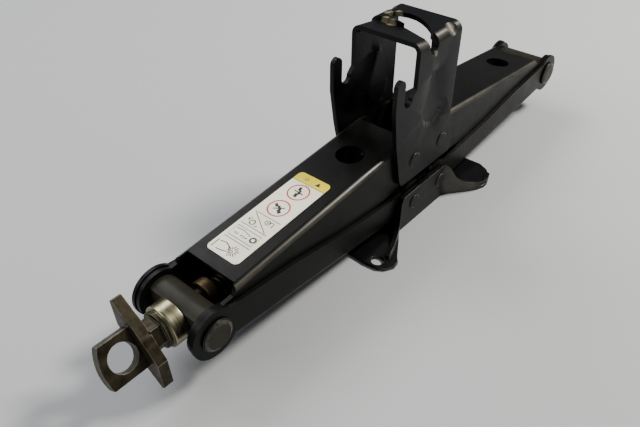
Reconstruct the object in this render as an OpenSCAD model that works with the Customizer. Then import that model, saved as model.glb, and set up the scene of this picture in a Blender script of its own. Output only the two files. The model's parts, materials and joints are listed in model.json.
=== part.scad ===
// Collapsed scissor jack with a forked saddle: two geared pairs of pressed steel
// arms between a base and a saddle, drawn together by one horizontal screw.
// X runs along the screw from the drive end (-X) to the nut end (+X), Z is up,
// and the origin is the centre of the base's underside.

/* [Linkage] */
// Distance between the two trunnion axes when collapsed
trunnion_span = 376; // [360:1:400]
// Height of the screw axis above the ground when collapsed
screw_z = 33; // [32:0.5:36]
// Half the distance between the two pivots of a geared pair, which is the pitch radius
pitch_r = 16; // [16:0.5:17]

/* [Sheet metal] */
// Thickness of the arms' sheet
arm_t = 2.5; // [2.2:0.1:2.6]
// Half of the outside width of the upper arms
upper_w = 21.5; // [21:0.1:21.8]
// Gap between neighbouring sheets that slide past each other
side_gap = 0.3; // [0.25:0.05:0.4]
// Thickness of the saddle and base sheet
plate_t = 3; // [2.5:0.1:3]

/* [Saddle] */
// Height of the saddle's top web above the ground when collapsed
saddle_top = 126.5; // [122:0.1:132]
// Height of the finger tips above the ground when collapsed
finger_top = 112.7; // [108:0.5:115]
// X of the saddle's tall part at the drive side
tall_x0 = -22; // [-24:0.5:-21]
// X of the saddle's tall part at the nut side
tall_x1 = 23; // [22:0.5:25]

/* [Base] */
// Half of the base's length
foot_x = 72.5; // [72:0.5:74]
// Half of the base's width across its feet
foot_w = 47; // [46:0.5:48]
// Height of the base's side walls at the pivots
wall_top = 27; // [25.5:0.5:28]

/* [Screw] */
// Radius of the screw
screw_r = 6; // [5.5:0.1:6.2]
// Length of the head's wing bar, tip to tip
wing_span = 52; // [46:1:56]
// Radius of the crank eye's hole
eye_hole_r = 7.6; // [7:0.1:8.2]
// Tilt of the crank eye's flat from the horizontal, about the screw
eye_tilt = 55; // [0:5:90]

/* [Label] */
// Length of the sticker on the drive-side upper arm
label_l = 78; // [70:0.5:84]
// Width of the sticker
label_w = 24; // [20:0.5:26]

/* [Hidden] */
$fn = 64;
e = 0.5;                       // overshoot of every cutting solid

// Linkage
trunnion_x = trunnion_span / 2;
base_pivot_z = screw_z - pitch_r;
saddle_pivot_z = screw_z + pitch_r;
arm_dx = trunnion_x - pitch_r;
arm_l = sqrt(arm_dx * arm_dx + pitch_r * pitch_r);
arm_angle = atan2(pitch_r, arm_dx);

// Stack of sheets from the middle outwards
upper_in = upper_w - arm_t;
lower_in = upper_w + side_gap;
lower_w = lower_in + arm_t;
saddle_w = lower_in + plate_t;
base_in = lower_w + 0.9;
base_w = base_in + plate_t;

// Arms
ear_r_upper = 14.4;
ear_r_lower = 15.1;
hub_r = pitch_r - 2.1;
upper_web = 15;                // web's outer face above the pivot line
lower_web = 11.7;
web_start = 21.5;              // web's edge between the ears
shoulder = 14.5;               // where the flat ears end and the channel starts
ear_lap = 2;                   // length over which ear and channel run into each other
bend_r = 4;
web_hole_r = 9;
web_hole_drive = 137.5;
web_hole_nut = 49.5;

// Gear teeth
teeth = 16;
addendum = 1.6;
backlash = 0.45;               // degrees taken off each side of a tooth
base_circle = pitch_r * cos(20);

// Pins and trunnions
pin_r = 4.5;
run = 0.05;                    // running clearance on a radius
open_run = 0.3;                // clearance at the pivot where the loop is opened
rivet_r = 5.2;                 // low heads of the base and saddle pins
rivet_t = 1;
base_washer_r = 8;
stub_r = 5.5;
trunnion_r = 11;
trunnion_flat = 6.5;           // the drive trunnion's flat, from its axis
trunnion_w = upper_in - side_gap;
washer_t = 1;
washer_r = 9.6;
washer_y = lower_w + side_gap;
trunnion_head_y = washer_y + washer_t;

// Screw head and thrust bearing, measured along the screw
seat_x = -trunnion_x - trunnion_flat;
race_t = 2.5;
ball_r = 2.2;
bearing_l = 2 * race_t + 2 * ball_r + 0.1;
bearing_r = 12.3;
race_r = 11.3;
ball_pitch_r = 8.7;
balls = 9;
collar_x = seat_x - bearing_l;
flange_l = 2;
flange_r = 10.6;
collar_l = 8;
wing_x = collar_x - collar_l;
wing_l = 6;
hub_out_r = 8.5;               // round hub between the wings
eye_x = wing_x - wing_l;
eye_l = 21.7;
eye_hole_x = eye_x - 9.55;     // middle of the hole
eye_w = 22.8;
eye_t = 7;
eye_end_r = 30;
eye_end_y = -4;                // the convex end's centre is off the middle by this
socket_r = 4.5;

// Functions
function inv(a) = tan(a) * 180 / PI - a;
function flank(r) = 90 / teeth - backlash + inv(20) - inv(acos(base_circle / r));
function at(r, a) = [r * cos(a), r * sin(a)];
function unit(v) = v / norm(v);
function normal(a, b) = let (u = unit(b - a)) [-u[1], u[0]];
function inset(p, d) = [for (i = [0 : len(p) - 1])
    let (n = normal(p[max(i - 1, 0)], p[max(i, 1)]),
         m = normal(p[min(i, len(p) - 2)], p[min(i + 1, len(p) - 1)]))
    p[i] + (n + m) / (1 + n * m) * d];

// Places its children, drawn in X and Z, as a slab from y0 to y1
module slab(y0, y1) {
    translate([0, y1, 0]) rotate([90, 0, 0]) linear_extrude(y1 - y0) children();
}

// The slab on both sides of the middle
module both_slabs(y0, y1) {
    slab(y0, y1) children();
    slab(-y1, -y0) children();
}

// A cylinder along Y between y0 and y1
module y_rod(r, y0, y1) {
    translate([0, y1, 0]) rotate([90, 0, 0]) cylinder(r = r, h = y1 - y0);
}

// A cylinder along X between x0 and x1
module x_rod(r, x0, x1) {
    translate([x0, 0, 0]) rotate([0, 90, 0]) cylinder(r = r, h = x1 - x0);
}

// A ring along X between x0 and x1
module x_ring(r_out, r_in, x0, x1) {
    difference() {
        x_rod(r_out, x0, x1);
        x_rod(r_in, x0 - e, x1 + e);
    }
}

// A ring along Y on both sides of the middle
module y_rings(r_out, r_in, y0, y1) {
    for (s = [-1, 1]) scale_side(s) difference() {
        y_rod(r_out, y0, y1);
        y_rod(r_in, y0 - e, y1 + e);
    }
}

module scale_side(s) {
    if (s > 0) children(); else mirror([0, 1, 0]) children();
}

// Outline of a channel's section in Y and Z: flat top with rounded corners
module arch(w, top, bottom, r) {
    translate([-w, bottom]) square([2 * w, top - r - bottom]);
    translate([r - w, bottom]) square([2 * (w - r), top - bottom]);
    for (s = [-1, 1]) translate([s * (w - r), top - r]) circle(r);
}

// A channel along X: web on top, two flanks, sheet t
module channel(x0, x1, w, top, bottom, r, t) {
    translate([x0, 0, 0]) rotate([90, 0, 90]) linear_extrude(x1 - x0) difference() {
        arch(w, top, bottom, r);
        arch(w - t, top - t, bottom - e, r - t);
    }
}

// One gear tooth in X and Z, pointing at angle a
module tooth(a) {
    radii = [for (i = [0 : 4]) base_circle + 0.01 + (pitch_r + addendum - base_circle - 0.01) * i / 4];
    side = concat([at(hub_r - 1, a + flank(base_circle + 0.01))],
                  [for (r = radii) at(r, a + flank(r))]);
    other = [for (i = [len(radii) - 1 : -1 : 0]) at(radii[i], a - flank(radii[i]))];
    polygon(concat(side, other, [at(hub_r - 1, a - flank(base_circle + 0.01))]));
}

// An arm with its outer trunnion at the origin, its inner pivot at [arm_l, 0] and its
// web above; low gives the flank's free edge below the pivot line at both ends, and
// lean how far the near flank's front edge leans back towards the web
module arm_body(w, web, ear_r, low, inner_bore, open_w, lean) {
    chin = ear_r - 3;
    function lower_edge(x) = -chin + (chin - low[0]) * x / 30;
    module outline(back) {
        translate([arm_l, 0]) circle(hub_r);
        polygon([[shoulder, lower_edge(shoulder)], [30, -low[0]], [arm_l * 0.34, -low[0]],
                 [arm_l * 0.6, -low[1]], [arm_l, -low[1]], [arm_l, web + e],
                 [shoulder + 1.5 + back, web + e], [shoulder + back, web - 2.5],
                 [shoulder + back * 0.35, web - 5.5], [shoulder, web - 7.5]]);
    }
    difference() {
        union() {
            intersection() {
                channel(shoulder, arm_l + 20, w, web, -20, bend_r, arm_t);
                union() {
                    slab(-w - e, 1) outline(lean);
                    slab(-1, w + e) outline(0);
                }
            }
            both_slabs(w - arm_t, w) union() {
                circle(ear_r);
                polygon([[0, -chin], [shoulder + ear_lap, lower_edge(shoulder + ear_lap)],
                         [shoulder + ear_lap, web - bend_r - 0.2], [0, web - bend_r - 0.2]]);
            }
        }
        // opening between the ears, and the hub's between its flanks
        translate([-20, -open_w, -30]) cube([20 + web_start, 2 * open_w, 60]);
        translate([arm_l - 1, -open_w, -30]) cube([30, 2 * open_w, 60]);
        y_rod(stub_r + run, -w - e, w + e);
        translate([arm_l, 0, 0]) y_rod(inner_bore, -w - e, w + e);
    }
}

// The arm's teeth, drawn at the inner pivot in the frame's own directions
module arm_teeth(y0, y1, first, bore) {
    difference() {
        both_slabs(y0, y1) for (i = [0 : 2]) tooth(first + i * 360 / teeth);
        y_rod(bore, -y1 - e, y1 + e);
    }
}

module upper_arm(first, hole_x, bore) {
    translate([-trunnion_x, 0, screw_z]) rotate([0, -arm_angle, 0]) difference() {
        arm_body(upper_w, upper_web, ear_r_upper, [10, 16.5], bore, upper_in - 0.8, 4.5);
        translate([hole_x, 0, upper_web - 2 * arm_t]) cylinder(r = web_hole_r, h = 3 * arm_t);
    }
    translate([-pitch_r, 0, saddle_pivot_z]) mirror([0, 0, 1])
        arm_teeth(upper_in, upper_w, first, bore);
}

module lower_arm(first) {
    translate([-trunnion_x, 0, screw_z]) rotate([0, arm_angle, 0]) mirror([0, 0, 1])
        arm_body(lower_w, lower_web, ear_r_lower, [11.5, 8.5], pin_r + run, lower_in + 0.3, 0);
    translate([-pitch_r, 0, base_pivot_z]) arm_teeth(lower_in, lower_w, first, pin_r + run);
}

module upper_arm_drive() {
    color([0.11, 0.11, 0.12]) upper_arm(0, web_hole_drive, pin_r + run);
}

module upper_arm_nut() {
    color([0.12, 0.12, 0.13]) mirror([1, 0, 0])
        upper_arm(180 / teeth, web_hole_nut, pin_r + open_run);
}

module lower_arm_drive() {
    color([0.09, 0.09, 0.10]) lower_arm(0);
}

module lower_arm_nut() {
    color([0.10, 0.10, 0.11]) mirror([1, 0, 0]) lower_arm(180 / teeth);
}

// Plan outline of one long side of the base, from the drive end to the nut end
plan = [[-foot_x + 1, -14], [-foot_x, 17 - foot_w], [-foot_x + 1, 8 - foot_w], [-foot_x + 4, 3 - foot_w],
        [-foot_x + 9, 0.3 - foot_w], [-foot_x + 14, 1 - foot_w], [-55, -43], [-49, -39.3], [-42, -35],
        [-36, -31], [-31, -base_w], [20, -base_w], [26, -31], [32, -35.6], [38, -40.6],
        [44, 2.2 - foot_w], [50, -foot_w], [foot_x - 18, -foot_w], [foot_x - 9, 3.4 - foot_w],
        [foot_x - 3.5, 8.5 - foot_w], [foot_x, 16 - foot_w], [foot_x - 0.5, -14]];
// Outer face of the wall on that side, which runs out onto the feet as a low lip
wall_plan = [[-60, -40.3], [-50, -37.2], [-42, -34], [-36, -31], [-31, -base_w], [20, -base_w],
             [26, -31], [32, -35.6], [38, -40.6], [44, 2.2 - foot_w], [50, 0.6 - foot_w],
             [57, 0.8 - foot_w], [64, 3.2 - foot_w]];
wall_inner = inset(wall_plan, plate_t);
foot_hole_x = 66;
foot_hole_y = 35.5;
foot_hole_r = 4.3;

module base_walls() {
    intersection() {
        for (s = [-1, 1]) scale_side(s) linear_extrude(wall_top)
            polygon(concat(wall_plan, [for (i = [len(wall_inner) - 1 : -1 : 0]) wall_inner[i]]));
        slab(-foot_w - e, foot_w + e)
            polygon([[-68, 0], [68, 0], [65, 4], [56, 5], [44, 6.5], [35, 9], [30, 14], [26, 22],
                     [22, wall_top - 0.6], [19, wall_top], [-27, wall_top], [-29, wall_top - 0.8],
                     [-31.2, 22], [-33, 13], [-35, 9], [-38, 7], [-46, 5.6], [-62, 4.2]]);
    }
}

module base() {
    color([0.10, 0.10, 0.11]) difference() {
        union() {
            linear_extrude(arm_t)
                polygon(concat(plan, [for (i = [len(plan) - 1 : -1 : 0]) [plan[i][0], -plan[i][1]]]));
            base_walls();
        }
        for (y = [-foot_hole_y, foot_hole_y])
            translate([-foot_hole_x, y, -e]) cylinder(r = foot_hole_r, h = 2 * arm_t);
        for (x = [-pitch_r, pitch_r]) translate([x, 0, base_pivot_z]) y_rod(pin_r, -base_w - e, base_w + e);
    }
}

// A riveted pin: shank and two low heads
module riveted_pin(half, head_r, head_t) {
    y_rod(pin_r, -half, half);
    for (s = [-1, 1]) scale_side(s) {
        y_rod(head_r, half, half + head_t * 0.5);
        translate([0, half + head_t, 0]) rotate([90, 0, 0])
            cylinder(r1 = head_r - 1, r2 = head_r, h = head_t * 0.5);
    }
}

module base_pin(x) {
    translate([x, 0, base_pivot_z]) riveted_pin(base_w, rivet_r, rivet_t);
}

module base_pin_drive() {
    color([0.13, 0.13, 0.14]) base_pin(-pitch_r);
}

module base_pin_nut() {
    color([0.13, 0.13, 0.14]) base_pin(pitch_r);
}

module base_washers() {
    color([0.3, 0.3, 0.28]) for (x = [-pitch_r, pitch_r])
        translate([x, 0, base_pivot_z]) y_rings(base_washer_r, pin_r, lower_w + 0.15, base_in);
}

// Side view of the saddle plates, up to where their bends start
saddle_bend = 6;
plate_low = 34.5;
plate_high = saddle_top - saddle_bend - 1;
finger_x = -42.5;              // outer edge of the fingers
tip_r = 4;
notch_r = 4.25;                // round bottom of the notch beside each finger
notch_z = 92.8;
notch_x = finger_x + 2 * tip_r;
tip = [finger_x + tip_r, finger_top - tip_r];
notch = [notch_x + notch_r, notch_z + notch_r];
module saddle_side() {
    polygon(concat(
        [[-28, plate_low], [28, plate_low], [30, plate_low + 2], [28, 54], [tall_x1 + 0.5, 66],
         [tall_x1, 100], [tall_x1, plate_high], [tall_x0, plate_high], [tall_x0, 101.5], [-25, 98.5]],
        [for (a = [0 : -15 : -180]) notch + at(notch_r, a)],
        [for (a = [0 : 15 : 180]) tip + at(tip_r, a)],
        [[finger_x, 92], [-38.5, 67.6], [-32, 40], [-30.5, plate_low + 2]]));
}

// The pressed dimple of a plate, on a face at y: a tapered oval, wide at the bottom
module dimple(y) {
    lead = 0.5;
    depth = 2.2;
    slope = 2;
    low_r = 14.3;
    high_r = 7.3;
    for (s = [-1, 1]) scale_side(s) translate([0, y + lead, 0]) hull() {
        translate([1, 0, 79]) rotate([90, 0, 0])
            cylinder(r1 = low_r + slope * lead, r2 = low_r - slope * depth, h = depth + lead, $fn = 48);
        translate([0, 0, 102.5]) rotate([90, 0, 0])
            cylinder(r1 = high_r + slope * lead, r2 = high_r - slope * depth, h = depth + lead, $fn = 48);
    }
}

// The curved slot through the top web; it ends a little way down the near plate
slot_near = -7.4;              // middle of the slot's near end along X
slot_half = 4.2;
slot_drop = 3.6;               // how far the round of that end lies below the web's top
slot_plan = [[1, -15.5], [5.5, -10], [9, -4.5], [11.3, 1], [11.8, 7], [10.6, 12], [8.2, 15.4],
             [5, 16.6], [2, 15.4], [0.4, 11.5], [-1.3, 5], [-3.9, -2.4], [-6.9, -9.7], [-9.8, -16]];
module saddle_slot() {
    translate([0, 0, saddle_top - 8]) linear_extrude(20)
        polygon(concat([[slot_near + slot_half - 0.3, -20.5]], slot_plan,
                       [[slot_near - slot_half + 0.3, -20.5]]));
    slab(-saddle_w - e, -20) translate([slot_near, saddle_top - slot_drop])
        polygon(concat([[slot_half, 20], [-slot_half, 20]],
                       [for (a = [180 : 15 : 360]) at(slot_half, a)]));
}

// The gussets pressed into both bends of the top web, at its nut end
module gussets(top) {
    r = 7;
    depth = 1.9;
    for (s = [-1, 1]) scale_side(s)
        translate([13.5, saddle_w - saddle_bend, top - saddle_bend]) rotate([-45, 0, 0])
            translate([0, -12, saddle_bend + r - depth]) rotate([-90, 0, 0]) cylinder(r = r, h = 24);
}

// The top web and its two bends over that stretch of X
module cap(x0, x1, top, t) {
    channel(x0, x1, saddle_w, top, top - saddle_bend - 6, saddle_bend, t);
}

module saddle() {
    step_x = -3;               // the top web steps up here
    step_h = 2.5;
    rise = 0.114;              // slope of the web from the step up to the drive edge
    sheet_in = saddle_w - plate_t;
    color([0.11, 0.11, 0.12]) difference() {
        union() {
            difference() {
                union() {
                    both_slabs(sheet_in, saddle_w) saddle_side();
                    multmatrix([[1, 0, 0, 0], [0, 1, 0, 0],
                                [-rise, 0, 1, saddle_top + rise * step_x], [0, 0, 0, 1]])
                        cap(tall_x0, step_x + 1, 0, plate_t);
                    cap(step_x, step_x + plate_t, saddle_top + step_h, plate_t + step_h);
                    cap(step_x + 1, tall_x1, saddle_top + step_h, plate_t);
                }
                dimple(saddle_w);
            }
            difference() {
                dimple(sheet_in);
                dimple(saddle_w);
            }
        }
        saddle_slot();
        gussets(saddle_top + step_h);
        for (x = [-pitch_r, pitch_r]) translate([x, 0, saddle_pivot_z])
            y_rod(pin_r, -saddle_w - e, saddle_w + e);
    }
}

module saddle_pin(x) {
    translate([x, 0, saddle_pivot_z]) riveted_pin(saddle_w, rivet_r, rivet_t);
}

module saddle_pin_drive() {
    color([0.13, 0.13, 0.14]) saddle_pin(-pitch_r);
}

module saddle_pin_nut() {
    color([0.13, 0.13, 0.14]) saddle_pin(pitch_r);
}

// Cross bar with turned-down ends that are riveted over the washers
module trunnion(bore) {
    head_r = 9;
    head_t = 1.6;
    difference() {
        union() {
            y_rod(trunnion_r, -trunnion_w, trunnion_w);
            y_rod(stub_r, -trunnion_head_y - e, trunnion_head_y + e);
            for (s = [-1, 1]) scale_side(s) {
                y_rod(head_r, trunnion_head_y, trunnion_head_y + head_t / 3);
                translate([0, trunnion_head_y + head_t, 0]) rotate([90, 0, 0])
                    cylinder(r1 = head_r - 1.8, r2 = head_r, h = head_t * 2 / 3);
            }
        }
        x_rod(bore, -trunnion_r - e, trunnion_r + e);
    }
}

module drive_trunnion() {
    color([0.12, 0.12, 0.12]) translate([-trunnion_x, 0, screw_z]) difference() {
        trunnion(screw_r + run);
        translate([-trunnion_r - e, -trunnion_w - e, -20])
            cube([trunnion_r + e - trunnion_flat, 2 * trunnion_w + 2 * e, 40]);
    }
}

module nut_trunnion() {
    color([0.12, 0.12, 0.12]) translate([trunnion_x, 0, screw_z]) trunnion(screw_r + open_run);
}

module washers_at(x) {
    translate([x, 0, screw_z]) y_rings(washer_r, stub_r, washer_y, trunnion_head_y);
}

module drive_washers() {
    color([0.16, 0.16, 0.16]) washers_at(-trunnion_x);
}

module nut_washers() {
    color([0.16, 0.16, 0.16]) washers_at(trunnion_x);
}

// Where the screw ends, level with the nut trunnion's far side
screw_end = trunnion_x + trunnion_r + 0.5;

module lead_screw() {
    color([0.2, 0.2, 0.19]) translate([0, 0, screw_z]) {
        x_rod(screw_r, wing_x, screw_end);
        x_rod(socket_r, wing_x - wing_l + 1, wing_x);
    }
}

// Eye plate drawn flat, then turned about the screw
module crank_eye() {
    color([0.33, 0.30, 0.24]) translate([0, 0, screw_z]) rotate([eye_tilt, 0, 0]) difference() {
        union() {
            // eye plate with a slightly convex end
            translate([0, 0, -eye_t / 2]) linear_extrude(eye_t) intersection() {
                translate([eye_x - eye_l, -eye_w / 2]) square([eye_l + 1, eye_w]);
                translate([eye_x - eye_l + eye_end_r, eye_end_y]) circle(r = eye_end_r);
            }
            // hub and tapered wings
            x_rod(hub_out_r, eye_x, wing_x);
            translate([eye_x, 0, 0]) rotate([90, 0, 90]) linear_extrude(wing_l) polygon([
                [-wing_span / 2, -1.1], [-9.5, -6.6], [6, -9], [12.5, -9.3], [wing_span / 2, -1.1],
                [wing_span / 2, 1.1], [9.5, 6.6], [-6, 9], [-12.5, 9.3], [-wing_span / 2, 1.1]]);
        }
        translate([eye_hole_x, 0, -eye_t]) cylinder(r = eye_hole_r, h = 2 * eye_t);
        x_rod(socket_r, eye_x + 1, wing_x + e);
    }
}

// Six-sided neck with a round flange against the bearing
module screw_collar() {
    hex_r = 9.4;
    color([0.35, 0.31, 0.22]) translate([0, 0, screw_z]) difference() {
        union() {
            x_rod(flange_r, collar_x - flange_l, collar_x);
            translate([wing_x, 0, 0]) rotate([30, 0, 0]) rotate([0, 90, 0])
                cylinder(r = hex_r, h = collar_l - flange_l + e, $fn = 6);
        }
        x_rod(screw_r, wing_x - e, collar_x + e);
    }
}

module race_front() {
    color([0.55, 0.52, 0.42]) translate([0, 0, screw_z])
        x_ring(race_r - 0.3, screw_r, collar_x, collar_x + race_t);
}

module race_rear() {
    color([0.55, 0.52, 0.42]) translate([0, 0, screw_z])
        x_ring(race_r, screw_r + 0.4, seat_x - race_t, seat_x);
}

ball_x = (collar_x + race_t + seat_x - race_t) / 2;

module thrust_balls() {
    color([0.7, 0.7, 0.7]) translate([ball_x, 0, screw_z]) for (i = [0 : balls - 1])
        rotate([i * 360 / balls, 0, 0]) translate([0, 0, ball_pitch_r]) sphere(ball_r);
}

module ball_cage() {
    color([0.6, 0.5, 0.2]) translate([ball_x, 0, screw_z]) difference() {
        x_ring(race_r - 0.4, screw_r, -0.6, 0.6);
        for (i = [0 : balls - 1]) rotate([i * 360 / balls, 0, 0])
            translate([0, 0, ball_pitch_r]) sphere(ball_r + 0.03);
    }
}

module bearing_shell() {
    color([0.62, 0.58, 0.42]) translate([0, 0, screw_z])
        x_ring(bearing_r, race_r, collar_x + 0.4, seat_x);
}

module retaining_collar() {
    ring_r = 9.5;
    ring_l = 6.5;
    ring_x = -trunnion_x + trunnion_r + 0.4;
    color([0.25, 0.25, 0.23]) translate([0, 0, screw_z]) x_ring(ring_r, screw_r, ring_x, ring_x + ring_l);
}

// The sticker, a thin sheet with rounded corners on the drive-side upper arm
module label() {
    label_x = 68.5;
    label_y = 1.2;
    label_t = 0.25;
    r = 3;
    color([0.9, 0.88, 0.82]) translate([-trunnion_x, 0, screw_z]) rotate([0, -arm_angle, 0])
        translate([label_x, label_y, upper_web]) linear_extrude(label_t) union() {
            square([label_l - 2 * r, label_w], center = true);
            square([label_l, label_w - 2 * r], center = true);
            for (sx = [-1, 1], sy = [-1, 1])
                translate([sx * (label_l / 2 - r), sy * (label_w / 2 - r)]) circle(r);
        }
}

base();
base_pin_drive();
base_pin_nut();
base_washers();
lower_arm_drive();
lower_arm_nut();
upper_arm_drive();
upper_arm_nut();
saddle();
saddle_pin_drive();
saddle_pin_nut();
drive_trunnion();
drive_washers();
nut_trunnion();
nut_washers();
lead_screw();
crank_eye();
screw_collar();
race_front();
race_rear();
thrust_balls();
ball_cage();
bearing_shell();
retaining_collar();
label();
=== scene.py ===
"""Looks of the scissor jack: materials, softened edges, threads, sticker, stage, light and camera."""
import json
import math

import bmesh
import bpy
from mathutils import Matrix, Vector


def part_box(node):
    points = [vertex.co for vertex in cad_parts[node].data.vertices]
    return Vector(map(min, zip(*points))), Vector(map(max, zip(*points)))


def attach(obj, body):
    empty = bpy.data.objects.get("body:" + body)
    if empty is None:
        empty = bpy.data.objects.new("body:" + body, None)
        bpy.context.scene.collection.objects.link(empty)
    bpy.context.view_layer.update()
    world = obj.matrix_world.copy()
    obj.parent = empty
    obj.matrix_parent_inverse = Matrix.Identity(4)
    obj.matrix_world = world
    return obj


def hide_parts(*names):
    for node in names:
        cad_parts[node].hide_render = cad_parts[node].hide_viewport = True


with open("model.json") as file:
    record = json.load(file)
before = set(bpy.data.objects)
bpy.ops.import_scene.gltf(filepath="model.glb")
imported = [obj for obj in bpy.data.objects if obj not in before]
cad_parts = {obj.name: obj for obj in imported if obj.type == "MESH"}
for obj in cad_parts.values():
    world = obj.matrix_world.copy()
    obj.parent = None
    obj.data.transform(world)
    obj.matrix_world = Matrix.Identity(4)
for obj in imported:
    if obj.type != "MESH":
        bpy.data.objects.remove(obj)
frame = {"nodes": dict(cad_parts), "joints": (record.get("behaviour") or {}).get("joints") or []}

MM = 0.001
NODES = frame["nodes"]
JOINTS = {j["name"]: j for j in frame["joints"]}
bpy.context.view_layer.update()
SCENE = bpy.context.scene
SCREW_Z = JOINTS["screw_turn"]["pos_m"][2]


# ---------------------------------------------------------------- node graphs

class Graph:
    """A material's node tree, built with short calls."""

    def __init__(self, name):
        self.material = bpy.data.materials.new(name)
        self.material.use_nodes = True
        self.nodes = self.material.node_tree.nodes
        self.links = self.material.node_tree.links
        self.nodes.clear()
        self.out = self.nodes.new("ShaderNodeOutputMaterial")
        self.shader = self.nodes.new("ShaderNodeBsdfPrincipled")
        self.links.new(self.shader.outputs["BSDF"], self.out.inputs["Surface"])
        self.place = self.nodes.new("ShaderNodeTexCoord").outputs["Object"]

    def set(self, **values):
        for name, value in values.items():
            self.shader.inputs[name.replace("_", " ")].default_value = value

    def link(self, name, socket):
        self.links.new(socket, self.shader.inputs[name])

    def stretched(self, scale):
        mapping = self.nodes.new("ShaderNodeMapping")
        mapping.inputs["Scale"].default_value = scale
        self.links.new(self.place, mapping.inputs["Vector"])
        return mapping.outputs["Vector"]

    def noise(self, scale, detail=4.0, rough=0.55, stretch=None):
        node = self.nodes.new("ShaderNodeTexNoise")
        node.inputs["Scale"].default_value = scale
        node.inputs["Detail"].default_value = detail
        node.inputs["Roughness"].default_value = rough
        self.links.new(self.stretched(stretch) if stretch else self.place, node.inputs["Vector"])
        return node.outputs["Fac"]

    def ramp(self, fac, stops):
        node = self.nodes.new("ShaderNodeValToRGB")
        elements = node.color_ramp.elements
        while len(elements) < len(stops):
            elements.new(0.5)
        for element, (position, color) in zip(elements, stops):
            element.position = position
            element.color = (*color, 1.0)
        self.links.new(fac, node.inputs["Fac"])
        return node.outputs["Color"]

    def span(self, fac, low, high, source=(0.0, 1.0)):
        node = self.nodes.new("ShaderNodeMapRange")
        node.inputs["From Min"].default_value = source[0]
        node.inputs["From Max"].default_value = source[1]
        node.inputs["To Min"].default_value = low
        node.inputs["To Max"].default_value = high
        self.links.new(fac, node.inputs["Value"])
        return node.outputs["Result"]

    def mix(self, fac, a, b):
        node = self.nodes.new("ShaderNodeMix")
        node.data_type = "RGBA"
        self.links.new(fac, node.inputs["Factor"])
        for socket, value in ((node.inputs["A"], a), (node.inputs["B"], b)):
            if isinstance(value, tuple):
                socket.default_value = (*value, 1.0)
            else:
                self.links.new(value, socket)
        return node.outputs["Result"]

    def math(self, operation, a, b=0.0):
        node = self.nodes.new("ShaderNodeMath")
        node.operation = operation
        for socket, value in zip(node.inputs, (a, b)):
            if isinstance(value, float):
                socket.default_value = value
            else:
                self.links.new(value, socket)
        return node.outputs["Value"]

    def y_of(self, vector):
        split = self.nodes.new("ShaderNodeSeparateXYZ")
        self.links.new(vector, split.inputs["Vector"])
        return split.outputs["Y"]

    def outer_bend(self):
        """A mask of the rounded surfaces between up and sideways that face away from the middle plane, where
        the painted bend highlight goes.
        """
        facing = self.y_of(self.nodes.new("ShaderNodeNewGeometry").outputs["Normal"])
        across = self.math("ABSOLUTE", facing)
        rounded = self.math("MULTIPLY", self.span(across, 0.0, 1.0, (0.2, 0.55)),
                            self.span(across, 1.0, 0.0, (0.85, 0.98)))
        same_side = self.math("MULTIPLY", facing, self.y_of(self.place))
        outward = self.math("GREATER_THAN", same_side, 0.0)
        return self.math("MULTIPLY", rounded, outward)

    def bump(self, height, strength, distance):
        node = self.nodes.new("ShaderNodeBump")
        node.inputs["Strength"].default_value = strength
        node.inputs["Distance"].default_value = distance
        self.links.new(height, node.inputs["Height"])
        self.link("Normal", node.outputs["Normal"])


# ---------------------------------------------------------------- materials

SCUFFED = (0.022, 0.0215, 0.020)
# cream grey painted highlight for the outside of the bends
PAINTED_BEND_HIGHLIGHT = (0.075, 0.066, 0.045)
# light brownish steel for bare spots, and for painted highlight spots
BARE_STEEL_AND_HIGHLIGHT = (0.17, 0.15, 0.095)


def black_coat(name, dark, light, rough=(0.30, 0.42), spots=()):
    """Satin black electro-coat over pressed sheet: faint clouding, fine orange peel, light scuffs, and a
    painted highlight on the outside of the bends.
    """
    g = Graph(name)
    clouds = g.noise(38, 5, 0.6)
    base = g.ramp(clouds, [(0.32, dark), (0.68, light)])
    scuffs = g.noise(420, 3, 0.7, stretch=(0.12, 1.0, 1.0))
    scuff_mask = g.span(scuffs, 0.0, 0.5, (0.63, 0.78))
    scuffed = g.mix(scuff_mask, base, SCUFFED)
    # painted highlight: the outside of the bends is lightened to a cream grey in streaks, where the key
    # light's reflection runs along them
    bend = g.outer_bend()
    streaks = g.noise(70, 5, 0.7, stretch=(0.25, 1.0, 1.0))
    painted_highlight = g.math("MULTIPLY", bend, g.span(streaks, 0.15, 0.85, (0.38, 0.62)))
    color = g.mix(painted_highlight, scuffed, PAINTED_BEND_HIGHLIGHT)
    if spots:
        # bare steel and painted highlights at the listed spots
        color = g.mix(bare_and_highlight_spots(g, spots), color, BARE_STEEL_AND_HIGHLIGHT)
    g.link("Base Color", color)
    g.link("Roughness", g.span(g.noise(95, 6, 0.65), rough[0], rough[1], (0.3, 0.7)))
    g.link("Specular IOR Level", g.span(bend, 0.11, 0.5))
    g.bump(g.noise(900, 3, 0.6), 0.16, 0.0001)
    return g.material


def bare_and_highlight_spots(g, spots):
    """A mask of bare spots and painted highlight spots: spots is a list of (x, y, z, radius) in mm in the
    part's rest frame.
    """
    ragged = g.noise(260, 4, 0.6)
    mask = None
    for x, y, z, radius in spots:
        node = g.nodes.new("ShaderNodeVectorMath")
        node.operation = "DISTANCE"
        g.links.new(g.place, node.inputs[0])
        node.inputs[1].default_value = (x * MM, y * MM, z * MM)
        near = g.span(node.outputs["Value"], 1.0, 0.0, (radius * 0.25 * MM, radius * 1.3 * MM))
        mask = near if mask is None else g.math("MAXIMUM", mask, near)
    return g.span(g.math("ADD", mask, ragged), 0.0, 1.0, (0.95, 1.3))


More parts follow.
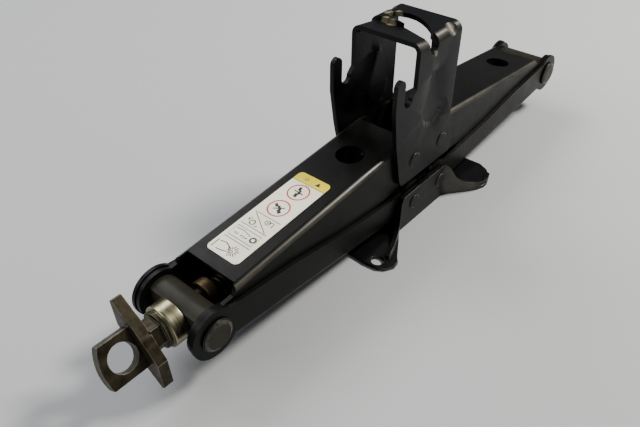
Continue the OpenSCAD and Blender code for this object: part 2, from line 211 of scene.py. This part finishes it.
def worn_edge():
    """Sheared sheet edges and bends where the coat is thin and rubbed."""
    g = Graph("worn_edge")
    patches = g.noise(160, 5, 0.65)
    coat, thin, bare = (0.0065, 0.0065, 0.006), (0.020, 0.019, 0.014), (0.10, 0.09, 0.06)
    g.link("Base Color", g.ramp(patches, [(0.44, coat), (0.56, thin), (0.70, bare)]))
    g.link("Roughness", g.span(patches, 0.42, 0.3))
    g.set(Metallic=0.3, Specular_IOR_Level=0.4)
    g.bump(g.noise(1300, 2), 0.25, 0.0001)
    return g.material


def forged_steel(name, dark, light):
    """Forged and passivated steel: brownish, mottled, softly shiny on its high spots."""
    g = Graph(name)
    mottle = g.noise(150, 6, 0.62)
    high_spots = tuple(c * 1.5 for c in light)
    g.link("Base Color", g.ramp(mottle, [(0.3, dark), (0.55, light), (0.75, high_spots)]))
    g.link("Roughness", g.span(g.noise(240, 5), 0.36, 0.58, (0.3, 0.7)))
    g.set(Metallic=0.75)
    g.bump(g.noise(700, 5, 0.7), 0.35, 0.0002)
    return g.material


def plated(name, color, rough):
    """Bright plated steel with turning marks around the screw's axis."""
    g = Graph(name)
    streaks = g.noise(1500, 2, 0.5, stretch=(1.0, 0.05, 0.05))
    blotch = g.noise(120, 4)
    g.link("Base Color", g.ramp(blotch, [(0.3, tuple(c * 0.75 for c in color)), (0.7, color)]))
    g.link("Roughness", g.span(streaks, rough[0], rough[1], (0.3, 0.7)))
    g.set(Metallic=1.0)
    g.bump(streaks, 0.03, 0.00003)
    return g.material


def sticker_film():
    """Cream-white printed film with a faint gloss and a little grime."""
    g = Graph("sticker_film")
    grime = g.noise(90, 5)
    g.link("Base Color", g.ramp(grime, [(0.25, (0.92, 0.88, 0.68)), (0.5, (1.0, 0.97, 0.78))]))
    g.link("Roughness", g.span(g.noise(300, 3), 0.38, 0.5))
    g.set(Coat_Weight=0.15, Coat_Roughness=0.3)
    g.bump(g.noise(260, 2), 0.08, 0.0001)
    return g.material


def ink(name, color):
    """Printed ink, slightly uneven."""
    g = Graph(name)
    shade = g.noise(500, 3)
    g.link("Base Color", g.ramp(shade, [(0.3, tuple(c * 0.85 for c in color)), (0.7, color)]))
    g.link("Roughness", g.span(shade, 0.4, 0.5))
    return g.material


# bare steel round the saddle's slot and a light spot on the near plate; the spots on the top corner's groove
# and inside the far plate, on its dimple, are painted highlights
SADDLE_WEAR_AND_HIGHLIGHTS = [(10, 13, 127.5, 4), (5, 17, 127.5, 4.5), (-4, 9, 127, 4.5), (-3, 14, 127.5, 3.5),
               (14, -22, 127, 4), (-5, -24.5, 118, 2.5), (1, 22.6, 99, 3.5)]

ARM = black_coat("black_arm", (0.0030, 0.0030, 0.0028), (0.0062, 0.0061, 0.0056))
PLATE = black_coat("black_plate", (0.0026, 0.0027, 0.0032), (0.0054, 0.0056, 0.0064), (0.28, 0.40))
RIVET = black_coat("black_rivet", (0.0035, 0.0034, 0.0030), (0.0085, 0.0080, 0.0065), (0.3, 0.42))
SADDLE = black_coat("black_saddle", (0.0026, 0.0027, 0.0032), (0.0054, 0.0056, 0.0064), (0.28, 0.40),
                    spots=SADDLE_WEAR_AND_HIGHLIGHTS)
TRUNNION = black_coat("black_trunnion", (0.016, 0.0155, 0.011), (0.030, 0.029, 0.021), (0.30, 0.42))
EDGE = worn_edge()
HEAD = forged_steel("forged_head", (0.011, 0.0085, 0.0045), (0.045, 0.036, 0.020))
# lighter steel for the head's rounded edges: rubbed metal and a painted highlight along them
RUBBED_AND_HIGHLIGHT_EDGE = forged_steel("rubbed_steel_and_highlight", (0.05, 0.042, 0.027), (0.22, 0.19, 0.13))
SCREW = forged_steel("oiled_screw", (0.006, 0.005, 0.0035), (0.02, 0.017, 0.012))
WASHER = plated("washer_steel", (0.085, 0.060, 0.034), (0.38, 0.55))
ZINC = plated("bearing_zinc", (0.38, 0.355, 0.225), (0.26, 0.40))
BALL = plated("bearing_ball", (0.75, 0.75, 0.76), (0.08, 0.14))
BRASS = plated("cage_brass", (0.60, 0.47, 0.22), (0.3, 0.4))
FILM = sticker_film()

# each CAD node's material and the width of its rounded edges in mm
FINISH = {
    "base": (PLATE, 0.8), "saddle": (SADDLE, 0.8),
    "lower_arm_drive": (ARM, 0.35), "lower_arm_nut": (ARM, 0.35),
    "upper_arm_drive": (ARM, 0.35), "upper_arm_nut": (ARM, 0.35),
    "base_pin_drive": (RIVET, 0.4), "base_pin_nut": (RIVET, 0.4),
    "saddle_pin_drive": (RIVET, 0.4), "saddle_pin_nut": (RIVET, 0.4),
    "drive_trunnion": (TRUNNION, 0.5), "nut_trunnion": (TRUNNION, 0.5),
    "drive_washers": (RIVET, 0.3), "nut_washers": (RIVET, 0.3), "base_washers": (WASHER, 0.2),
    "lead_screw": (SCREW, 0.3), "crank_eye": (HEAD, 0.8), "screw_collar": (HEAD, 0.6),
    "race_front": (ZINC, 0.3), "race_rear": (ZINC, 0.3), "bearing_shell": (ZINC, 0.5),
    "thrust_balls": (BALL, 0), "ball_cage": (BRASS, 0), "retaining_collar": (WASHER, 0.5),
    "label": (FILM, 0),
}


def soften(obj, width, edge_slot):
    """Welds the imported mesh, rounds its sharp edges by width in mm and smooths the shading."""
    weld = obj.modifiers.new("weld", "WELD")
    weld.merge_threshold = 0.00001
    flatten = obj.modifiers.new("flatten", "DECIMATE")
    flatten.decimate_type = "DISSOLVE"
    flatten.angle_limit = math.radians(1.2)
    if width:
        bevel = obj.modifiers.new("bevel", "BEVEL")
        bevel.width = width * MM
        bevel.segments = 3
        bevel.limit_method = "ANGLE"
        bevel.angle_limit = math.radians(32)
        bevel.use_clamp_overlap = True
        bevel.harden_normals = True
        bevel.material = edge_slot
    # every reader of the mesh then gets the same triangles
    obj.modifiers.new("split", "TRIANGULATE").min_vertices = 5
    normals = obj.modifiers.new("normals", "WEIGHTED_NORMAL")
    normals.keep_sharp = True


def finish_cad_nodes():
    for name, obj in NODES.items():
        material, width = FINISH[name]
        slots = obj.data.materials
        slots.clear()
        slots.append(material)
        edge_slot = -1
        if material in (ARM, PLATE, SADDLE):
            slots.append(EDGE)
            edge_slot = 1
        # the head's rounded edges get the lighter steel: rubbed metal and a painted highlight
        elif material is HEAD:
            slots.append(RUBBED_AND_HIGHLIGHT_EDGE)
            edge_slot = 1
        normals = obj.data.attributes.get("custom_normal")
        if normals:
            obj.data.attributes.remove(normals)
        obj.data.shade_smooth()
        soften(obj, width, edge_slot)


finish_cad_nodes()


# ---------------------------------------------------------------- pieces made as meshes

def mesh_piece(name, vertices, faces, materials, body, face_slots=None, smooth=True):
    mesh = bpy.data.meshes.new(name)
    mesh.from_pydata([tuple(v) for v in vertices], [], faces)
    for material in materials:
        mesh.materials.append(material)
    if face_slots:
        mesh.polygons.foreach_set("material_index", face_slots)
    bm = bmesh.new()
    bm.from_mesh(mesh)
    bmesh.ops.recalc_face_normals(bm, faces=bm.faces)
    bm.to_mesh(mesh)
    bm.free()
    if smooth:
        mesh.shade_smooth()
    obj = bpy.data.objects.new(name, mesh)
    SCENE.collection.objects.link(obj)
    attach(obj, body)
    return obj


def axis_point(x, radius, share):
    """The point at x that lies that share of a turn round the screw's axis."""
    angle = 2 * math.pi * share
    return Vector((x, radius * math.cos(angle), SCREW_Z + radius * math.sin(angle)))


def axis_ring(x, radius, sides):
    return [axis_point(x, radius, i / sides) for i in range(sides)]


def lathe(name, profile, sides, material, body):
    """A hollow turned piece on the screw's axis. profile is a closed outline of (x, radius) in metres."""
    vertices = [v for x, radius in profile for v in axis_ring(x, radius, sides)]
    rows = len(profile)
    faces = []
    for row in range(rows):
        a, b = row * sides, (row + 1) % rows * sides
        faces += [(a + i, a + (i + 1) % sides, b + (i + 1) % sides, b + i) for i in range(sides)]
    return mesh_piece(name, vertices, faces, [material], body)


def arc(center, radius, start, end, steps):
    """Points on an arc in (x, radius), angles in degrees."""
    return [(center[0] + radius * math.cos(math.radians(start + (end - start) * i / steps)),
             center[1] + radius * math.sin(math.radians(start + (end - start) * i / steps)))
            for i in range(steps + 1)]


def threaded_screw():
    """The lead screw: a plain bearing shank, then a rolled trapezoidal thread that winds to a plain tip."""
    low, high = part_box("lead_screw")
    major = (high[2] - low[2]) / 2
    minor = major - 1.15 * MM
    pitch = 3.0 * MM
    sides = 28
    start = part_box("retaining_collar")[1][0] + 1.0 * MM
    runout = 2.5 * pitch
    tip = high[0] - 6.0 * MM
    # one turn of the thread: where its corners lie along the pitch, and whether they are at the root
    wave = ((0.0, 0), (0.30, 0), (0.52, 1), (0.78, 1))
    turns = int((tip - start) / pitch) - 1
    shank_end = start - 0.6 * MM
    chamfer = 0.6 * MM
    vertices, faces = [], []

    def ring_row(x, radius):
        vertices.extend(axis_ring(x, radius, sides))

    def join(a, b):
        faces.extend((a + i, a + (i + 1) % sides, b + (i + 1) % sides, b + i) for i in range(sides))

    # the shank runs from the head to the thread's start
    ring_row(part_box("screw_collar")[0][0], major)
    ring_row(shank_end, major)
    join(0, sides)
    first = len(vertices)
    rows = turns * len(wave)
    for k in range(rows):
        turn, corner = divmod(k, len(wave))
        for i in range(sides):
            share = i / sides
            x = start + pitch * (turn + wave[corner][0] + share)
            depth = wave[corner][1] * min(1.0, (x - start) / runout)
            vertices.append(axis_point(x, major - (major - minor) * depth, share))
    for k in range(rows - 1):
        a = first + k * sides
        faces.extend((a + i, a + i + 1, a + sides + i + 1, a + sides + i) for i in range(sides - 1))
    # each row's last column meets the first column one turn further on
    for k in range(rows - len(wave) - 1):
        a = first + k * sides
        b = a + len(wave) * sides
        faces.append((a + sides - 1, b, b + sides, a + 2 * sides - 1))
    # shank to thread
    faces.extend((sides + i, sides + i + 1, first + i + 1, first + i) for i in range(sides - 1))
    seam = [first + k * sides for k in range(len(wave) + 1)]
    faces.extend((first + sides - 1, seam[k], seam[k + 1]) for k in range(len(wave)))
    faces.append((2 * sides - 1, sides, first, first + sides - 1))
    # plain tip, pushed a little way into the last turn
    last = len(vertices)
    ring_row(tip - 2.2 * pitch, minor)
    ring_row(high[0] - chamfer, minor)
    ring_row(high[0], minor - chamfer)
    join(last, last + sides)
    join(last + sides, last + 2 * sides)
    faces.append(tuple(range(last + 2 * sides, last + 3 * sides)))
    faces.append(tuple(range(sides)))
    screw = mesh_piece("threaded_screw", vertices, faces, [SCREW], "screw", smooth=False)
    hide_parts("lead_screw")


def rolled_shell():
    """The bearing's shell with rolled rims at both ends."""
    low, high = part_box("bearing_shell")
    outer = (high[2] - low[2]) / 2
    inner = outer - 1.0 * MM
    waist = outer - 0.12 * MM
    roll = 0.9 * MM
    front, back = low[0], high[0]
    profile = arc((front + roll, outer - roll), roll, 200, 90, 6)
    profile += [(front + 3.0 * MM, waist), (back - 2.6 * MM, waist)]
    profile += arc((back - roll, outer - roll), roll, 90, 0, 5)
    profile += [(back, inner - 0.9 * MM), (back - 0.5 * MM, inner), (front + 1.6 * MM, inner)]
    shell = lathe("rolled_shell", profile, 72, ZINC, "drive_trunnion")
    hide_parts("bearing_shell")


# ---------------------------------------------------------------- the sticker's printed marks

class Print:
    """Flat inked shapes just above the sticker, in its own directions: s along the arm, t across, in mm."""

    def __init__(self):
        start, end = Vector(JOINTS["drive_trunnion_upper"]["pos_m"]), Vector(JOINTS["saddle_pivot"]["pos_m"])
        self.along = (end - start).normalized()
        self.across = Vector((0.0, 1.0, 0.0))
        self.up = self.along.cross(self.across)
        film = NODES["label"]
        points = [film.matrix_world @ v.co for v in film.data.vertices]
        spans = [[p.dot(direction) for p in points] for direction in (self.along, self.across, self.up)]
        middle = [(min(span) + max(span)) / 2 for span in spans[:2]]
        self.half_length = (max(spans[0]) - min(spans[0])) / 2 / MM
        self.half_width = (max(spans[1]) - min(spans[1])) / 2 / MM
        self.origin = self.along * middle[0] + self.across * middle[1] + self.up * max(spans[2])
        self.vertices, self.faces, self.slots = [], [], []
        self.materials = []

    def slot(self, material):
        if material not in self.materials:
            self.materials.append(material)
        return self.materials.index(material)

    def place(self, s, t, lift):
        return self.origin + self.along * (s * MM) + self.across * (t * MM) + self.up * (lift * MM)

    def polygon(self, points, material, lift=0.05):
        first = len(self.vertices)
        self.vertices += [self.place(s, t, lift) for s, t in points]
        self.faces.append(tuple(range(first, first + len(points))))
        self.slots.append(self.slot(material))

    def stroke(self, points, width, material, lift=0.06, closed=False):
        """A line of that width through the points."""
        points = [Vector(p) for p in points]
        count = len(points)
        sides = ([], [])
        for i in range(count):
            before = points[i - 1] if i or closed else points[i]
            after = points[(i + 1) % count] if i < count - 1 or closed else points[i]
            step = (after - before).normalized()
            offset = Vector((-step.y, step.x)) * width / 2
            sides[0].append(points[i] + offset)
            sides[1].append(points[i] - offset)
        for i in range(count if closed else count - 1):
            j = (i + 1) % count
            self.polygon([sides[0][i], sides[0][j], sides[1][j], sides[1][i]], material, lift)

    def ring(self, s, t, radius, width, material, lift=0.06):
        points = [(s + radius * math.cos(i * math.pi / 24), t + radius * math.sin(i * math.pi / 24))
                  for i in range(48)]
        self.stroke(points, width, material, lift, closed=True)

    def disc(self, s, t, radius, material, lift=0.06):
        self.polygon([(s + radius * math.cos(i * math.pi / 12), t + radius * math.sin(i * math.pi / 12))
                      for i in range(24)], material, lift)


def printed_marks():
    """Generic marks only: a yellow band, red rings, thin panel lines and plain strokes."""
    p = Print()
    black, grey = ink("ink_black", (0.006, 0.006, 0.007)), ink("ink_grey", (0.022, 0.022, 0.02))
    red, yellow = ink("ink_red", (0.55, 0.006, 0.008)), ink("ink_yellow", (1.0, 0.80, 0.0))
    length, width = p.half_length, p.half_width
    # yellow band at the nut end, with rounded corners, and its edge line
    corner = 3.0
    band = length - 7.6
    edge = [(length - corner + corner * math.sin(a), width - corner + corner * math.cos(a))
            for a in (i * math.pi / 12 for i in range(7))]
    outline = [(band, width)] + edge + [(s, -t) for s, t in reversed(edge)] + [(band, -width)]
    p.polygon(outline, yellow, 0.04)
    p.stroke([(band, width), (band, -width)], 0.35, black)
    p.polygon([(length - 5.4, -3.0), (length - 5.4, -6.6), (length - 2.2, -4.8)], black)
    p.ring(length - 4.0, 4.0, 1.1, 0.4, grey)
    # two red rings round dark strokes
    for center, lean in ((6.5, 0.9), (23.3, 0.2)):
        p.ring(center, 0.4, 6.5, 0.85, red)
        heading = Vector((math.cos(lean), math.sin(lean)))
        side = Vector((-heading.y, heading.x))
        middle = Vector((center, 0.4))
        blocks = ((-2.7, 0.4, 1.7, 2.1), (0.2, -0.5, 1.9, 1.6), (3.1, 0.6, 1.5, 1.9))
        for along, across, size, thick in blocks:
            start = middle + heading * (along - size) + side * across
            p.stroke([start, start + heading * size * 2], thick, black, 0.07)
        p.stroke([middle - side * 3.4 - heading, middle + side * 3.2 + heading], 0.8, black, 0.075)
    # panel lines
    for s in (-2.6, -13.9, -26.6):
        p.stroke([(s, -9.6), (s, 9.8)], 0.42, grey)
    p.stroke([(-3.4, 8.4), (-13.2, -7.4)], 0.45, black)
    p.stroke([(-length + 2.2, 9.7), (-length + 8.5, 9.7)], 0.6, grey)
    # panel by the diagonal: small rings and strokes
    p.ring(-10.6, 4.4, 1.7, 0.65, black)
    p.ring(-5.9, -3.0, 1.6, 0.5, black)
    p.disc(-5.9, -3.0, 0.5, black, 0.07)
    for s, t, ds, dt in ((-7.4, 6.9, -2.6, 0.8), (-8.6, 8.4, -2.0, -0.9), (-8.0, -7.0, 3.6, 0.2),
                         (-4.4, -6.2, -1.0, 2.6), (-12.6, 1.4, 0.9, -1.7)):
        p.stroke([(s, t), (s + ds, t + dt)], 0.5, black)
    # panel with a box, a wheel-like ring and dashes
    p.stroke([(-24.6, 9.4), (-24.6, -8.6), (-16.4, -8.6), (-16.4, 9.4)], 0.4, grey, closed=True)
    p.ring(-20.6, -6.1, 1.7, 1.0, black, 0.07)
    for t in (7.0, 5.4, 2.2, 0.4, -1.3):
        p.stroke([(-22.4, t), (-21.2, t - 0.9)], 0.7, black)
    p.stroke([(-18.4, 8.4), (-18.0, 3.0), (-19.4, -3.0)], 0.45, grey)
    # panel with a burst of rays and an open outline beside it
    burst = Vector((-33.0, -2.9))
    rays = 13
    for i in range(rays):
        angle = i * 2 * math.pi / rays + 0.2
        ray = Vector((math.cos(angle), math.sin(angle)))
        p.stroke([burst + ray * 1.7, burst + ray * (3.4 if i % 2 else 4.1)], 0.5, black)
    p.stroke([(-31.0, 8.2), (-30.0, 4.6), (-31.2, 1.4), (-33.4, -0.8)], 0.55, black)
    p.stroke([(-36.4, 6.6), (-35.9, 2.8), (-35.0, 0.2)], 0.55, black)
    p.stroke([(-34.0, -1.2), (-32.4, -2.4), (-33.6, -3.6), (-34.6, -2.2)], 0.6, grey)
    marks = mesh_piece("label_marks", p.vertices, p.faces, p.materials, "upper_arm_drive", p.slots,
                       smooth=False)


threaded_screw()
rolled_shell()
printed_marks()


# ---------------------------------------------------------------- stage, light and camera

FLOOR_HALF = 6.0
LIGHTS_AIM = Vector((0.0, 0.0, 0.04))


def stage_floor():
    mesh = bpy.data.meshes.new("floor")
    bm = bmesh.new()
    bmesh.ops.create_grid(bm, x_segments=1, y_segments=1, size=FLOOR_HALF)
    bm.to_mesh(mesh)
    bm.free()
    floor = bpy.data.objects.new("floor", mesh)
    SCENE.collection.objects.link(floor)
    g = Graph("pale_floor")
    g.set(Base_Color=(0.52, 0.53, 0.54, 1.0), Roughness=0.85, Specular_IOR_Level=0.2)
    floor.data.materials.append(g.material)


def area_light(name, direction, distance, size, power, color=(1.0, 1.0, 1.0)):
    """A rectangular softbox that faces the object's middle."""
    data = bpy.data.lights.new(name, "AREA")
    data.shape = "RECTANGLE"
    data.size, data.size_y = size
    data.energy = power
    data.color = color
    lamp = bpy.data.objects.new(name, data)
    SCENE.collection.objects.link(lamp)
    aim = Vector(direction).normalized()
    lamp.location = LIGHTS_AIM + aim * distance
    lamp.rotation_euler = (-aim).to_track_quat("-Z", "Y").to_euler()


def lights():
    area_light("key_right", (0.5875, -0.345, 0.73), 1.25, (0.34, 0.2), 20, (1.0, 0.97, 0.90))
    area_light("soft_left", (-0.75, 0.45, 0.62), 1.6, (1.0, 0.8), 9)
    area_light("top_soft", (0.1, 0.95, 0.9), 1.9, (1.4, 0.8), 22)
    world = bpy.data.worlds.new("studio")
    world.use_nodes = True
    sky = world.node_tree.nodes["Background"].inputs
    sky["Color"].default_value = (0.92, 0.95, 1.0, 1.0)
    sky["Strength"].default_value = 0.18
    SCENE.world = world


def camera():
    """Looks down along the jack from its drive end and near side."""
    pitch, yaw, roll = math.radians(39.14), math.radians(40.75), math.radians(-0.15)
    level = math.cos(pitch)
    forward = Vector((level * math.cos(yaw), level * math.sin(yaw), -math.sin(pitch)))
    data = bpy.data.cameras.new("camera")
    data.sensor_width = 36.0
    data.lens = 34.64
    data.clip_start = 0.01
    cam = bpy.data.objects.new("camera", data)
    SCENE.collection.objects.link(cam)
    cam.location = (-0.3057, -0.1938, 0.2728)
    spin = Matrix.Rotation(roll, 3, "Z").to_quaternion()
    cam.rotation_euler = (forward.to_track_quat("-Z", "Y") @ spin).to_euler()
    SCENE.camera = cam


stage_floor()
lights()
camera()
